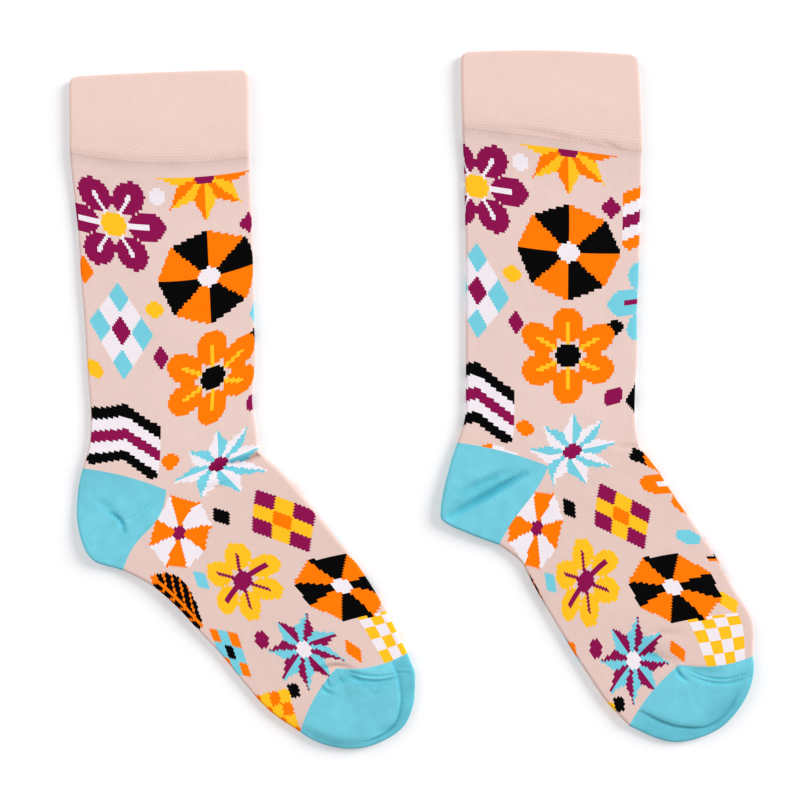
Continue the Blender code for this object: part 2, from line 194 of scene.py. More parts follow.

# A crease pressed into the upper layer, from start through bend to end.  A negative depth is a
# raised fold or seam.  Its depth also deepens the cloth's colour in painted shade.  dim: painted
# shade, the share of the light that the cloth beside it takes there.
Crease = namedtuple(
    "Crease", "start_x start_y bend_x bend_y end_x end_y depth width dim", defaults=(0.0,)
)

# A corner between stitches.  sunk: how deep in a fold it lies, which deepens its colour in
# painted shade.  dim: share of the light it lacks, painted as darker colour.
Corner = namedtuple("Corner", "x y z sunk dim")

# A motif of the pattern: the function of its shape, its middle in stitches, its half height,
# up to three yarns, and its turn
Motif = namedtuple(
    "Motif", "shape wale course size first second third turn", defaults=(None, None, 0)
)

# gore: azimuth of the heel's row of small holes.  roll: width of the round by which the toe's
# upper layer comes down at its step.  first_wale, first_course: where on the chart it starts
Sock = namedtuple("Sock", "side cuff leg foot heel toe creases gore roll first_wale first_course")

LEFT_CUFF = (
    Course(-178.3, 170.7, -133.5, 173.0, -88.9, 174.2, 4.7, 4.9),
    Course(-180.0, 169.6, -133.5, 172.2, -87.4, 173.2, 4.7, 4.9),
    Course(-181.0, 167.0, -133.5, 170.4, -86.5, 171.0, 4.7, 4.9),
    Course(-181.0, 150.0, -133.5, 149.5, -86.0, 151.5, 4.7, 4.9),
    Course(-181.0, 131.0, -133.5, 125.5, -86.0, 129.0, 4.5, 4.9),
)
LEFT_LEG = (
    Course(-181.0, 131.0, -133.5, 125.5, -86.0, 129.0, 4.4, 4.8),
    Course(-179.0, 111.0, -132.5, 105.0, -85.5, 110.0, 3.5, 4.0),
    Course(-176.5, 89.0, -131.0, 82.5, -84.5, 89.5, 3.5, 4.2),
    Course(-175.0, 64.0, -129.5, 56.5, -84.0, 66.5, 3.5, 4.4),
    Course(-173.0, 39.5, -128.0, 30.5, -83.5, 43.0, 3.5, 4.2),
    Course(-171.5, 14.0, -127.0, 4.5, -83.0, 19.5, 3.5, 4.2),
    Course(-170.0, -6.0, -127.0, -16.5, -84.5, 0.5, 3.7, 4.5, 0.1),
    Course(-170.5, -22.5, -127.5, -33.5, -82.5, -15.0, 4.2, 4.8, 0.5, -0.8),
    Course(-174.0, -36.0, -129.5, -47.5, -81.0, -27.5, 4.6, 5.0, 1.0, -1.6),
)
LEFT_FOOT = (
    Course(-152.5, -90.0, -129.5, -47.5, -81.0, -27.5, 4.6, 5.0, 1.0, 1.3, 2.2),
    Course(-139.0, -97.0, -119.0, -58.5, -69.0, -38.0, 5.1, 5.1, 0.6, 0.9, 1.0),
    Course(-126.0, -107.5, -107.0, -71.0, -57.5, -51.0, 5.2, 5.1, 0.3),
    Course(-113.0, -121.5, -94.0, -85.0, -45.0, -66.5, 4.7, 4.8, 0.2),
    Course(-100.0, -135.5, -80.5, -99.5, -32.5, -82.0, 4.1, 4.6, 0.2),
    Course(-88.0, -150.5, -67.0, -113.5, -21.5, -98.0, 3.9, 4.5, 0.3),
    Course(-75.0, -164.5, -53.5, -127.5, -11.5, -115.5, 4.2, 4.7, 0.6, -1.1, 0.0, -1.6),
    Course(-59.0, -175.5, -40.0, -141.5, -2.5, -133.5, 4.4, 5.0, 1.0, -2.3, 0.0, -3.2),
)
LEFT_HEEL = (
    Ray(165.5, 45.8, 4.6, -1.6),
    Ray(171.5, 46.2, 4.1, -1.2),
    Ray(178.0, 46.8, 3.7, -0.8),
    Ray(185.0, 47.6, 3.6, -0.4),
    Ray(192.0, 48.8, 3.8, -0.2),
    Ray(199.0, 50.2, 4.3),
    Ray(206.0, 51.5, 5.0, 0.2),
    Ray(213.0, 52.9, 5.4, 0.4, 0.1),
    Ray(219.0, 53.8, 5.8, 0.6, 0.4),
    Ray(225.0, 53.6, 5.6, 0.8, 0.8),
    Ray(230.5, 51.6, 5.3, 1.0, 1.3),
    Ray(236.0, 49.6, 5.0, 1.2, 1.8),
    Ray(241.5, 48.4, 4.6, 1.3, 2.2),
)
LEFT_TOE = (
    Ray(241.0, 38.9, 4.4, -2.3),
    Ray(250.5, 39.9, 4.6, -1.6),
    Ray(261.0, 41.0, 4.8, -1.0),
    Ray(272.0, 42.3, 5.0, -0.6),
    Ray(283.0, 43.8, 5.0, -0.3),
    Ray(292.0, 44.9, 4.8, 0.0, 0.0, 4.0, 0.2),
    Ray(302.5, 46.0, 3.8, 0.0, 0.0, 4.0, 1.2),
    Ray(311.5, 47.0, 3.4, 0.0, 0.0, 4.8, 1.8),
    Ray(320.0, 47.3, 3.2, -0.2, 0.0, 6.2, 2.2),
    Ray(328.0, 46.3, 3.2, -0.4, 0.0, 7.4, 2.4),
    Ray(336.0, 44.9, 3.2, -0.7, 0.0, 8.2, 2.4),
    Ray(343.0, 43.4, 3.2, -1.1, 0.0, 8.8, 2.2),
    Ray(350.0, 42.3, 3.3, -1.6, 0.0, 9.3, 2.0),
    Ray(357.0, 41.4, 3.5, -2.2, 0.0, 9.8, 1.7),
    Ray(364.5, 39.5, 3.8, -2.7, 0.0, 9.8, 1.3),
    Ray(372.0, 38.3, 4.3, -3.2, 0.0, 9.6, 0.3),
)
LEFT_CREASES = (
    Crease(-79.0, -28.0, -92.0, -33.5, -110.0, -39.5, 1.2, 2.6),
    Crease(-80.5, -28.4, -87.5, -33.8, -98.0, -33.9, 1.8, 1.0),
    Crease(-82.5, -26.0, -88.0, -29.6, -96.0, -30.2, -0.4, 1.6),
    Crease(-97.0, -44.0, -103.0, -46.0, -110.0, -48.5, 0.5, 2.2),
    Crease(-159.8, -59.6, -152.6, -61.6, -151.4, -70.0, 1.8, 0.88),
    Crease(-166.0, -53.5, -161.0, -56.0, -156.0, -60.5, 0.5, 2.4),
    Crease(-151.5, -71.5, -142.0, -60.0, -131.5, -50.0, 0.3, 2.2),
    Crease(-51.5, -143.5, -42.0, -138.8, -33.0, -141.0, 1.2, 1.4),
    Crease(-34.0, -142.6, -20.0, -147.6, -8.6, -144.0, 0.5, 0.8),
    Crease(-34.0, -144.0, -20.0, -148.8, -8.6, -145.2, -0.5, 0.85),
    Crease(-34.0, -146.2, -20.0, -150.6, -8.6, -146.4, 0.7, 0.9),
    Crease(-36.0, -146.5, -21.0, -153.5, -9.0, -147.5, 0.5, 2.4),
    Crease(-7.6, -142.4, -3.5, -143.2, 0.8, -142.6, -0.6, 0.9),
    Crease(-47.5, -150.9, -46.0, -154.4, -40.0, -155.0, 1.1, 0.8),
    Crease(-44.6, -147.0, -45.2, -151.2, -41.2, -150.8, 1.0, 0.75),
    Crease(-35.2, -146.1, -37.5, -147.6, -40.5, -148.1, 0.7, 0.7),
    Crease(-33.9, -148.0, -37.0, -149.2, -40.2, -149.4, 0.5, 0.7),
    Crease(-34.5, -144.6, -30.0, -146.4, -26.0, -148.0, 0.7, 1.8),
    Crease(-23.0, -151.8, -20.4, -156.6, -16.6, -152.4, 0.3, 1.3),
    Crease(-19.0, -175.0, -14.0, -174.5, -9.5, -172.0, 0.4, 1.6),
    Crease(-37.0, -141.8, -31.0, -144.2, -25.0, -144.0, 0.35, 1.9, 0.19),
    Crease(-20.0, -150.5, -14.5, -153.5, -8.0, -152.0, 0.1, 7.0, 0.12),
    Crease(-59.9, -171.6, -43.0, -185.0, -18.9, -180.5, 0.3, 3.2, 0.31),
)

RIGHT_CUFF = (
    Course(28.4, 183.7, 72.5, 184.5, 117.1, 182.2, 4.7, 4.9),
    Course(26.9, 182.7, 72.5, 183.7, 118.6, 181.2, 4.7, 4.9),
    Course(26.0, 180.5, 72.5, 181.9, 119.6, 179.0, 4.7, 4.9),
    Course(26.0, 163.0, 73.0, 161.0, 121.0, 156.0, 4.7, 4.9),
    Course(26.5, 144.0, 73.0, 138.5, 121.8, 131.5, 4.5, 4.9),
)
RIGHT_LEG = (
    Course(26.5, 144.0, 73.0, 138.5, 121.5, 131.5, 4.4, 4.8),
    Course(27.5, 124.0, 73.5, 117.5, 121.0, 113.0, 3.5, 4.0),
    Course(28.0, 102.5, 74.0, 95.0, 120.5, 92.5, 3.5, 4.2),
    Course(28.5, 77.5, 73.5, 69.0, 120.0, 69.0, 3.5, 4.4),
    Course(28.5, 52.5, 73.5, 43.0, 119.0, 45.5, 3.5, 4.2),
    Course(28.5, 27.5, 73.5, 17.0, 119.0, 22.5, 3.5, 4.2),
    Course(28.5, 7.5, 73.5, -3.5, 118.0, 4.0, 3.7, 4.5, 0.1),
    Course(28.0, -9.5, 73.0, -21.0, 118.0, -12.0, 4.2, 4.8, 0.5, -0.8),
    Course(24.0, -22.5, 72.0, -35.0, 120.0, -24.5, 4.6, 5.0, 1.0, -1.6),
)
RIGHT_FOOT = (
    Course(46.0, -76.5, 72.0, -35.0, 120.0, -24.5, 4.6, 5.0, 1.0, 0.2, 0.9),
    Course(57.5, -85.5, 80.0, -47.5, 129.5, -36.5, 4.2, 4.8, 0.6, 0.2, 0.5),
    Course(65.0, -99.0, 89.0, -61.5, 138.5, -50.5, 3.9, 4.6, 0.3),
    Course(74.0, -114.5, 99.5, -77.0, 149.5, -66.5, 3.8, 4.5, 0.2),
    Course(83.0, -129.5, 110.0, -92.5, 160.5, -82.5, 3.8, 4.5, 0.2),
    Course(92.5, -144.5, 120.0, -108.5, 169.5, -99.0, 3.9, 4.5, 0.3),
    Course(102.5, -159.0, 130.5, -124.0, 179.5, -116.0, 4.2, 4.7, 0.6, -1.0, 0.0, -1.4),
    Course(114.5, -172.0, 141.0, -139.5, 180.3, -135.0, 4.4, 5.0, 1.0, -2.1, 0.0, -3.0),
)
RIGHT_HEEL = (
    Ray(165.4, 49.6, 4.6, -1.6),
    Ray(171.0, 50.2, 4.8, -1.2),
    Ray(177.0, 51.4, 5.0, -0.8),
    Ray(183.0, 52.8, 5.3, -0.4),
    Ray(189.0, 55.0, 5.6, -0.2),
    Ray(195.0, 57.7, 5.8),
    Ray(201.0, 60.7, 5.8),
    Ray(206.0, 63.0, 5.4),
    Ray(210.5, 61.0, 5.4, 0.0, 0.2),
    Ray(217.0, 56.8, 5.4, 0.1, 0.4),
    Ray(224.0, 53.4, 5.2, 0.1, 0.6),
    Ray(231.0, 50.8, 5.0, 0.2, 0.8),
    Ray(238.0, 49.0, 4.6, 0.2, 0.9),
)
RIGHT_TOE = (
    Ray(231.0, 41.9, 4.2, -2.1, 0.0, 10.4, 0.3),
    Ray(239.5, 41.0, 4.0, -1.6, 0.0, 10.5, 0.8),
    Ray(248.5, 40.9, 4.0, -1.0, 0.0, 10.3, 1.1),
    Ray(259.0, 41.2, 4.0, -0.6, 0.0, 10.1, 1.3),
    Ray(268.0, 41.3, 4.0, -0.3, 0.0, 9.3, 1.4),
    Ray(277.0, 41.0, 4.0, 0.0, 0.0, 8.1, 1.4),
    Ray(285.5, 40.6, 4.0, 0.0, 0.0, 6.3, 1.4),
    Ray(294.0, 40.5, 4.0, 0.0, 0.0, 5.1, 1.3),
    Ray(303.0, 40.5, 4.1, -0.2, 0.0, 4.8, 1.2),
    Ray(313.0, 40.1, 4.1, -0.4, 0.0, 4.8, 1.2),
    Ray(324.5, 39.8, 4.1, -0.7, 0.0, 5.3, 1.0),
    Ray(336.0, 39.8, 4.4, -1.1, 0.0, 6.3, 0.5),
    Ray(346.0, 39.9, 4.5, -1.6, 0.0, 7.0, 0.25),
    Ray(354.0, 39.9, 4.6, -2.1, 0.0, 7.0, 0.1),
    Ray(361.5, 39.7, 4.6, -2.6),
    Ray(366.6, 39.3, 4.4, -3.0),
)
RIGHT_CREASES = (
    Crease(121.0, -24.0, 114.0, -25.0, 108.0, -24.5, 0.45, 1.8),
    Crease(20.0, -61.6, 40.5, -50.2, 59.0, -39.2, 2.55, 2.4),
    Crease(25.0, -49.5, 37.0, -43.2, 51.0, -38.0, 1.1, 2.6),
    Crease(24.0, -55.0, 38.0, -47.5, 50.0, -42.0, 0.9, 3.2),
    Crease(127.0, -122.0, 134.0, -124.0, 142.0, -123.0, 0.5, 2.2),
    Crease(118.0, -133.0, 127.0, -135.0, 138.0, -137.5, 0.6, 2.4),
    Crease(114.0, -124.0, 123.0, -132.0, 140.0, -135.5, 0.15, 5.0, 0.13),
    Crease(139.2, -141.0, 140.4, -145.3, 145.0, -147.8, 1.1, 1.1),
    Crease(145.0, -140.9, 153.5, -143.6, 162.0, -142.2, 0.35, 2.4, 0.17),
    Crease(150.8, -171.4, 165.2, -166.9, 172.0, -152.0, 0.4, 4.2, 0.11),
    Crease(152.0, -158.0, 162.0, -157.0, 169.0, -149.0, 0.2, 8.0, 0.1),
    Crease(146.5, -142.6, 163.5, -151.6, 179.8, -142.6, 0.5, 0.8),
    Crease(146.5, -144.0, 163.5, -152.6, 179.8, -144.0, -0.5, 0.85),
    Crease(146.5, -144.8, 163.5, -154.4, 179.8, -144.8, 0.5, 0.8),
    Crease(146.5, -144.6, 163.5, -153.0, 179.8, -144.6, 0.35, 2.6),
    Crease(38.0, 144.7, 62.0, 142.6, 83.0, 137.6, 0.2, 2.4),
    Crease(60.0, 142.8, 86.0, 137.4, 110.0, 131.6, 0.4, 2.0),
    Crease(100.0, 136.4, 104.0, 135.0, 109.5, 132.2, 0.4, 1.4),
)

# Yarn colours, linear RGB
YARNS = {
    "leg pink": (0.738, 0.556, 0.502),
    "foot pink": (0.712, 0.528, 0.469),
    "cuff pink": (0.832, 0.608, 0.538),
    "orange": (0.950, 0.180, 0.0005),
    "plum": (0.241, 0.005, 0.070),
    "yellow": (0.950, 0.500, 0.014),
    "turquoise": (0.162, 0.572, 0.675),
    "gore turquoise": (0.070, 0.380, 0.480),
    "black": (0.0009, 0.0009, 0.001),
    "white": (0.815, 0.755, 0.788),
}

SOCKS = (
    Sock("left", LEFT_CUFF, LEFT_LEG, LEFT_FOOT, LEFT_HEEL, LEFT_TOE, LEFT_CREASES, 215.0,
         1.2, 0, 0),
    Sock("right", RIGHT_CUFF, RIGHT_LEG, RIGHT_FOOT, RIGHT_HEEL, RIGHT_TOE, RIGHT_CREASES, 198.5,
         3.4, 14, 4),
)


# Motifs, each in its own units: a place (x, y), both from -1 to 1, gives yarn 0, 1, 2 or None

FLOWER_HEART = 0.25
PETAL_MIDDLE = 0.64
PETAL_REACH = 0.36     # from its middle
PETAL_WIDTH = 0.3
PETAL_VEIN_WIDTH = 0.04
PETAL_VEIN_END = 0.7
PINWHEEL_SIDE = 0.92   # from its middle, as is the side of its small octagon
PINWHEEL_HEART = 0.2
STAR_WIDTH = 0.46
STAR_HEART = 0.2
HARLEQUIN_WIDTH = 0.62
HARLEQUIN_ROWS = 3
CHEVRON_WIDTH = 0.85
CHEVRON_SLOPE = 0.5
CHEVRON_PITCH = 0.3
CHEVRON_YARNS = (0, 1, 2, 1, 0)
LEAF_WIDTH = 0.52
MIDRIB_WIDTH = 0.05
LEAF_VEIN_SLOPE = 0.9
LEAF_VEIN_PITCH = 0.36
LEAF_VEIN_WIDTH = 0.09
BOARD_HALF = 0.9
CHECK_SIDE = 0.45
LOZENGE_WIDTH = 0.7


def flower(x, y):
    """Six petals, each with a vein, about a round heart."""
    radius = hypot(x, y)
    if radius < FLOWER_HEART:
        return 2
    angle = (atan2(y, x) + pi / 6) % (pi / 3) - pi / 6
    along = radius * cos(angle)
    across = abs(radius * sin(angle))
    if across < PETAL_VEIN_WIDTH and along < PETAL_VEIN_END:
        return 1
    inside = hypot((along - PETAL_MIDDLE) / PETAL_REACH, across / PETAL_WIDTH) < 1
    return 0 if inside else None


def pinwheel(x, y):
    """Octagon of eight triangles in two yarns about a small octagon."""
    radius = hypot(x, y)
    angle = atan2(y, x) % (2 * pi)
    apothem = radius * cos(angle % (pi / 4) - pi / 8)
    if apothem > PINWHEEL_SIDE:
        return None
    if apothem < PINWHEEL_HEART:
        return 2
    return int(angle / (pi / 4)) % 2


def star(x, y):
    """Eight-pointed star, each point half one yarn and half another."""
    radius = hypot(x, y)
    angle = (atan2(y, x) + pi / 8) % (pi / 4) - pi / 8
    along = radius * cos(angle)
    across = abs(radius * sin(angle))
    if across > STAR_WIDTH * (1 - along):
        return None
    if radius < STAR_HEART:
        return 2
    return 0 if angle < 0 else 1


def harlequin(x, y):
    """Lozenge of nine lozenges, the middle one in a third yarn."""
    x = x / HARLEQUIN_WIDTH
    if abs(x) + abs(y) > 1:
        return None
    rising = int((x + y + 1) * HARLEQUIN_ROWS / 2)
    falling = int((x - y + 1) * HARLEQUIN_ROWS / 2)
    if rising == falling == 1:
        return 2
    return (rising + falling) % 2


def chevrons(x, y):
    """Stack of five chevrons."""
    height = CHEVRON_PITCH * len(CHEVRON_YARNS)
    rise = y + CHEVRON_SLOPE * abs(x) + height / 2
    if abs(x) > CHEVRON_WIDTH or not 0 <= rise < height:
        return None
    return CHEVRON_YARNS[int(rise / CHEVRON_PITCH)]


def leaf(x, y):
    """Pointed leaf with a midrib and side veins."""
    if abs(x) > LEAF_WIDTH * (1 - y * y):
        return None
    if abs(x) < MIDRIB_WIDTH:
        return 1
    return 1 if (y - LEAF_VEIN_SLOPE * abs(x)) % LEAF_VEIN_PITCH < LEAF_VEIN_WIDTH else 0


def checks(x, y):
    """Board of checks."""
    if max(abs(x), abs(y)) > BOARD_HALF:
        return None
    return (int((x + BOARD_HALF) / CHECK_SIDE) + int((y + BOARD_HALF) / CHECK_SIDE)) % 2


def lozenge(x, y):
    return 0 if abs(x) / LOZENGE_WIDTH + abs(y) < 1 else None


def dot(x, y):
    return 0 if hypot(x, y) < 1 else None


PATTERN = (
    Motif(flower, 24, 46, 26.0, "plum", "white", "yellow"),
    Motif(star, 73, 10, 25.0, "orange", "yellow", "plum"),
    Motif(chevrons, 122, 48, 23.0, "orange", "white", "plum"),
    Motif(leaf, 171, 14, 26.0, "turquoise", "white"),
    Motif(pinwheel, 73, 84, 26.0, "black", "orange", "white"),
    Motif(star, 171, 84, 25.0, "plum", "orange", "white"),
    Motif(harlequin, 24, 122, 27.0, "turquoise", "white", "plum"),
    Motif(flower, 122, 122, 26.0, "turquoise", "plum", "plum"),
    Motif(flower, 73, 158, 26.0, "orange", "yellow", "black", turn=30),
    Motif(pinwheel, 169, 160, 24.0, "orange", "plum", "white"),
    Motif(chevrons, 24, 196, 22.0, "black", "white", "plum"),
    Motif(harlequin, 122, 198, 26.0, "black", "white", "orange"),
    Motif(star, 76, 228, 22.0, "turquoise", "white", "plum"),
    Motif(leaf, 171, 236, 24.0, "plum", "yellow"),
    Motif(pinwheel, 38, 256, 19.0, "orange", "white", "plum", turn=10),
    Motif(flower, 122, 268, 22.0, "orange", "white", "white"),
    Motif(leaf, 8, 278, 20.0, "black", "orange"),
    Motif(harlequin, 82, 288, 22.0, "plum", "yellow", "orange"),
    Motif(checks, 171, 300, 17.0, "turquoise", "white"),
    Motif(flower, 46, 314, 21.0, "yellow", "plum", "plum"),
    Motif(star, 126, 330, 20.0, "black", "orange", "white"),
    Motif(harlequin, 10, 332, 18.0, "orange", "turquoise", "black"),
    Motif(pinwheel, 84, 348, 20.0, "orange", "black", "white", turn=15),
    Motif(leaf, 160, 360, 20.0, "plum", "turquoise"),
    Motif(star, 44, 378, 21.0, "plum", "turquoise", "white"),
    Motif(checks, 93, 388, 12.5, "yellow", "white"),
    Motif(checks, 2, 384, 14.0, "orange", "yellow", turn=45),
    Motif(dot, 48, 24, 4.2, "white"),
    Motif(lozenge, 6, 84, 8.0, "orange"),
    Motif(lozenge, 95, 50, 7.0, "plum"),
    Motif(dot, 43, 104, 4.4, "yellow"),
    Motif(lozenge, 45, 138, 6.5, "plum"),
    Motif(dot, 8, 156, 4.6, "yellow"),
    Motif(dot, 98, 140, 4.4, "black"),
    Motif(dot, 98, 192, 5.0, "plum"),
    Motif(dot, 50, 212, 4.4, "orange"),
    Motif(lozenge, 107, 244, 7.0, "black"),
    Motif(lozenge, 61, 268, 6.0, "black"),
    Motif(lozenge, 28, 290, 6.0, "turquoise"),
    Motif(dot, 104, 312, 4.6, "turquoise"),
    Motif(dot, 30, 350, 4.2, "plum"),
    Motif(lozenge, 104, 364, 6.0, "yellow"),
    Motif(lozenge, 68, 392, 6.0, "orange"),
    Motif(dot, 22, 388, 3.8, "black"),
)
MOTIF_REACH = 1.3      # no motif goes farther from its middle, in half heights
PATTERN_COURSE = 11    # the first patterned course below the cuff
PATTERN_STEP = 2       # courses that each row of the chart takes
ANKLE_COURSE = 200     # the ground's colour turns from that of the leg to that of the foot
FOOT_COURSE = 250


def ground(course):
    """Colour of the pink between the motifs, darker toward the foot."""
    share = min(max((course - ANKLE_COURSE) / (FOOT_COURSE - ANKLE_COURSE), 0.0), 1.0)
    pinks = zip(YARNS["leg pink"], YARNS["foot pink"])
    return [leg + (foot - leg) * share for leg, foot in pinks]


def charted_colour(wale, course):
    """Colour of a stitch of the pattern."""
    if course < PATTERN_COURSE:
        return ground(course)
    row = (course // PATTERN_STEP + 0.5) * PATTERN_STEP
    for motif in PATTERN:
        across = ((wale + 0.5 - motif.wale + HALF_ROUND) % ROUND - HALF_ROUND) * STITCH_WIDTH
        along = (motif.course - row) * STITCH_HEIGHT
        if hypot(across, along) > MOTIF_REACH * motif.size:
            continue
        turn = radians(motif.turn)
        x = (across * cos(turn) + along * sin(turn)) / motif.size
        y = (along * cos(turn) - across * sin(turn)) / motif.size
        found = motif.shape(x, y)
        if found is not None:
            return YARNS[(motif.first, motif.second, motif.third)[found]]
    return ground(course)


# Courses and rays

def catmull(before, start, end, after, early, late, share):
    """Value between start and end on a curve that passes through all four.

    early and late are the shares that the span from start to end has of itself and the span
    before or after it.
    """
    pull_start = (end - before) * early
    pull_end = (after - start) * late
    squared = share * share
    cubed = squared * share
    return (
        (2 * cubed - 3 * squared + 1) * start
        + (cubed - 2 * squared + share) * pull_start
        + (3 * squared - 2 * cubed) * end
        + (cubed - squared) * pull_end
    )


def refined(rows, spacing):
    """The rows with smooth rows put between each two of them, about a stitch apart."""
    last = len(rows) - 1
    out = []
    for index in range(last):
        around = (rows[max(index - 1, 0)], rows[index], rows[index + 1], rows[min(index + 2, last)])
        previous, span, following = (spacing(*pair) for pair in zip(around, around[1:]))
        early = span / (previous + span)
        late = span / (span + following)
        steps = max(1, round(span / STITCH_HEIGHT))
        for step in range(steps):
            values = (catmull(*four, early, late, step / steps) for four in zip(*around))
            out.append(type(rows[0])(*values))
    out.append(rows[last])
    return out


def course_spacing(course, following):
    return hypot(following.mid_x - course.mid_x, following.mid_y - course.mid_y)


def ray_spacing(ray, following):
    return ray.reach * radians(following.azimuth - ray.azimuth)


def bent_point(end, control, mid, share):
    """Point on the curve from end to mid, share of the way from end."""
    left = (1 - share) ** 2
    middle = 2 * share * (1 - share)
    return end * left + control * middle + mid * share ** 2


def bowed_point(end, mid, bow, sway, share):
    """Point on the line from end to mid, bowed to the left seen from mid and swayed in an S."""
    along = (end - mid).normalized()
    left = Vector((-along.y, along.x))
    return end.lerp(mid, share) + left * (4 * bow * share * (1 - share) - sway * sin(2 * pi * share))


def shifted(course, distance):
    """The course moved toward the toe, square to the line from back to front."""
    across = Vector((course.front_x - course.back_x, course.front_y - course.back_y)).normalized()
    steps = (across.y * distance, -across.x * distance) * 3
    places = [place + step for place, step in zip(course, steps)]
    return Course(*places, *course[len(places):])


# Relief of the cloth

def traced(creases):
    """Points along each crease, with the crease itself."""
    out = []
    shares = [step / CREASE_STEPS for step in range(CREASE_STEPS + 1)]
    for crease in creases:
        start = Vector((crease.start_x, crease.start_y))
        bend = Vector((crease.bend_x, crease.bend_y))
        end = Vector((crease.end_x, crease.end_y))
        out.append(([bent_point(start, bend, end, share) for share in shares], crease))
    return out


def crease_depth(traces, spot):
    """How far the upper layer is pressed down at a place, how deep in folds, and how dim it is.

    The first two are negative where it is raised.
    """
    pressed = 0.0
    sunk = 0.0
    dim = 0.0
    for points, crease in traces:
        reach = CREASE_REACH * crease.width
        span = (points[0] - points[-1]).length
        if (points[CREASE_STEPS // 2] - spot).length > span + reach:
            continue
        distances = [(point - spot).length for point in points]
        nearest = min(distances)
        if nearest > reach:
            continue
        share = distances.index(nearest) / CREASE_STEPS
        fade = END_DEPTH + (1 - END_DEPTH) * sin(pi * share)
        squared = (nearest / crease.width) ** 2
        lip_share = LIP_SHARE if crease.depth > 0 else RIDGE_LIP_SHARE
        profile = fade * (1 - lip_share * squared) * exp(-squared)
        pressed += crease.depth * profile
        sunk += crease.depth * profile / sqrt(crease.width)
        dim += crease.dim * fade * exp(-squared)
    return pressed, sunk, dim


def lumps(spot):
    """Height of the cloth's soft unevenness at a place."""
    total = 0.0
    for wavelength, height in LUMPS:
        total += height * noise.noise(Vector((spot.x / wavelength, spot.y / wavelength, height)))
    return total


def even_shares(count):
    """Shares from 1 at mid to 0 at the turned edge."""
    return [1 - step / count for step in range(count + 1)]


def half_section(place, length, edge, crown, depth, traces, shares, lift):
    """Half a flattened tube: from mid, over its end, back under mid, depth inside the skin.

    place gives the point at a share of the way from the end to mid, and lift how much higher
    than its edge, how deep in a fold and how dim the upper layer is at a distance from the end.
    """
    points = []
    turn = EDGE_TURN + depth / 2
    for share in shares:
        distance = turn + share * (length - turn)
        spot = place(distance / length)
        pressed, sunk, dim = crease_depth(traces, spot)
        rise, step_sunk, step_dim = lift(distance)
        height = edge + (crown - edge) * sin(share * pi / 2) + rise
        height = max(height - pressed, UPPER_LEAST)
        height += lumps(spot) * min(1.0, share / LUMP_FADE)
        points.append(Corner(spot.x, spot.y, height - depth, max(sunk, 0.0) + step_sunk,
                             dim + step_dim))
    middle = edge / 2
    last = points[-1]
    for step in range(1, ROUND_EDGE):
        angle = pi / 2 - pi * step / ROUND_EDGE
        spot = place((depth + (turn - depth) * (1 - cos(angle))) / length)
        # the upper layer's painted shade fades round the turned edge
        kept = (1 + sin(angle)) / 2
        points.append(Corner(spot.x, spot.y, middle + (middle - depth) * sin(angle),
                             last.sunk * kept, last.dim * kept))
    for share in reversed(even_shares(HALF_UPPER)):
        spot = place((turn + share * (length - turn)) / length)
        # the lower layer's creases deepen its colour in painted shade too
        relief = max(UNDER_SHARE * crease_depth(traces, spot)[0], 0.0)
        points.append(Corner(spot.x, spot.y, depth + relief, relief, 0.0))
    return points


def level(distance):
    """Lift of a layer without a step."""
    return 0.0, 0.0, 0.0


def course_halves(course, depth, traces):
    """Both halves of a course, each from mid over its edge to mid below."""
    back = Vector((course.back_x, course.back_y))
    mid = Vector((course.mid_x, course.mid_y))
    front = Vector((course.front_x, course.front_y))
    across = (front - back) * MID_PULL

    def half(end, control, bow, sway):
        def place(share):
            smooth = bent_point(end, control, mid, share)
            return smooth.lerp(bowed_point(end, mid, bow, sway, share), course.corner)

        return half_section(place, (end - mid).length, course.edge, course.crown, depth, traces,
                            even_shares(HALF_UPPER), level)

    return (half(back, mid - across, course.bow_back, course.sway),
            half(front, mid + across, course.bow_front, 0.0))


def course_section(course, depth, traces):
    """Closed ring of a course, from mid over the back edge, below, and over the front edge."""
    back_half, front_half = course_halves(course, depth, traces)
    return back_half + front_half[-2::-1]


def ray_section(ray, mid, crown, traces, roll):
    """Half ring of a pocket's ray, from the gore corner over the outline and back below."""
    azimuth = radians(ray.azimuth)
    end = mid + Vector((cos(azimuth), sin(azimuth))) * ray.reach
    shares = stepped_shares(ray, roll) if roll else even_shares(HALF_UPPER)

    def place(share):
        return bowed_point(end, mid, ray.bow, ray.sway, share)

    def step(distance):
        foot = distance - ray.step_in + STEP_FOOT
        risen = min(max(foot / roll, 0.0), 1.0)
        inside = max((distance - ray.step_in) / (ray.reach - ray.step_in), 0.0)
        strength = min(ray.step_drop, 1.0)
        groove = STEP_GROOVE * strength * exp(-(foot / STEP_GROOVE_WIDTH) ** 2)
        rise = ray.step_drop * sqrt(1 - (1 - risen) ** 2) * (1 - inside ** 2) - groove
        # the groove and the brim outside the step take painted shade
        shaded = strength * (1 - risen)
        return rise, groove + BRIM_SUNK * shaded, BRIM_DIM * shaded

    return half_section(place, ray.reach, ray.edge, crown, 0.0, traces, shares,
                        step if roll else level)


def stepped_shares(ray, roll):
    """Shares from 1 at the gore corner to 0 at the outline, close together across the step."""
    span = ray.reach - EDGE_TURN
    inner = (ray.step_in - STEP_FOOT + roll - EDGE_TURN) / span
    outer = max((ray.step_in - STEP_FOOT - EDGE_TURN) / span, BRIM_LEAST)
    face = HALF_UPPER - STEP_STITCHES - BRIM_STITCHES
    out = [1 - (1 - inner) * step / face for step in range(face)]
    out += [inner - (inner - outer) * step / STEP_STITCHES for step in range(STEP_STITCHES)]
    out += [outer * (1 - step / BRIM_STITCHES) for step in range(BRIM_STITCHES + 1)]
    return out


# Sheets of stitches

